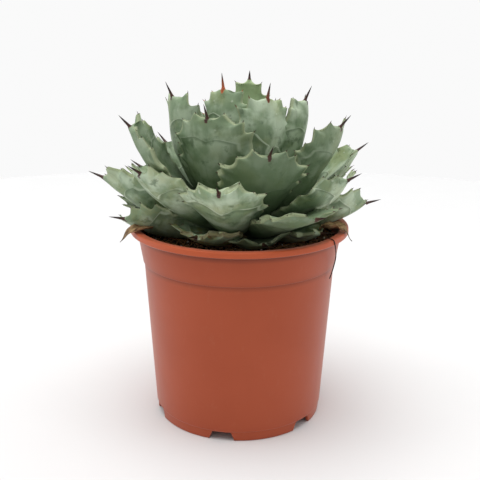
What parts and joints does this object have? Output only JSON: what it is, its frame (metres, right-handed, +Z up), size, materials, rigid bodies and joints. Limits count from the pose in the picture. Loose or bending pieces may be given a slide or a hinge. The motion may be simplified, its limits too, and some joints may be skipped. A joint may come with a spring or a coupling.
{
  "type": "potted agave",
  "caption": "Low rosette of thick, spine-tipped, toothed blue-green succulent leaves rooted in potting mix in a round tapered plastic nursery pot that stands on its foot ring.",
  "frame": {"origin": "middle of the plant's bounding box, on the surface that the pot's foot ring stands on", "axes": "+Z up along the pot's axis, -Y towards the front of the plant, +X to the plant's right as seen from the front"},
  "size_m": [0.1554, 0.143, 0.19],
  "materials": {
    "pot_plastic": "satin",
    "potting_mix": "matte",
    "stem_flesh": "matte",
    "young_leaf": "satin",
    "leaf_skin": "matte",
    "dried_leaf": "matte"
  },
  "bodies": {
    "root": {"pot": "pot_plastic", "potting_mix": "potting_mix", "stem": "stem_flesh", "heart_bud": "young_leaf", "leaf_01": "leaf_skin", "leaf_02": "leaf_skin", "leaf_03": "leaf_skin", "leaf_04": "leaf_skin", "leaf_05": "leaf_skin", "leaf_06": "leaf_skin", "leaf_07": "leaf_skin", "leaf_08": "leaf_skin", "leaf_09": "leaf_skin", "leaf_10": "leaf_skin", "leaf_11": "leaf_skin", "leaf_12": "leaf_skin", "leaf_13": "leaf_skin", "leaf_14": "leaf_skin", "leaf_15": "leaf_skin", "leaf_16": "leaf_skin", "leaf_17": "leaf_skin", "leaf_18": "leaf_skin", "leaf_19": "leaf_skin", "leaf_20": "leaf_skin", "leaf_21": "leaf_skin", "leaf_22": "leaf_skin", "leaf_23": "leaf_skin", "leaf_24": "leaf_skin", "leaf_25": "leaf_skin", "leaf_26": "leaf_skin", "leaf_27": "leaf_skin", "leaf_28": "leaf_skin", "leaf_29": "leaf_skin", "leaf_30": "leaf_skin", "leaf_31": "leaf_skin", "leaf_32": "leaf_skin", "leaf_33": "leaf_skin", "leaf_34": "leaf_skin", "leaf_35": "leaf_skin", "dried_leaf_1": "dried_leaf", "dried_leaf_2": "dried_leaf"}
  },
  "joints": []
}
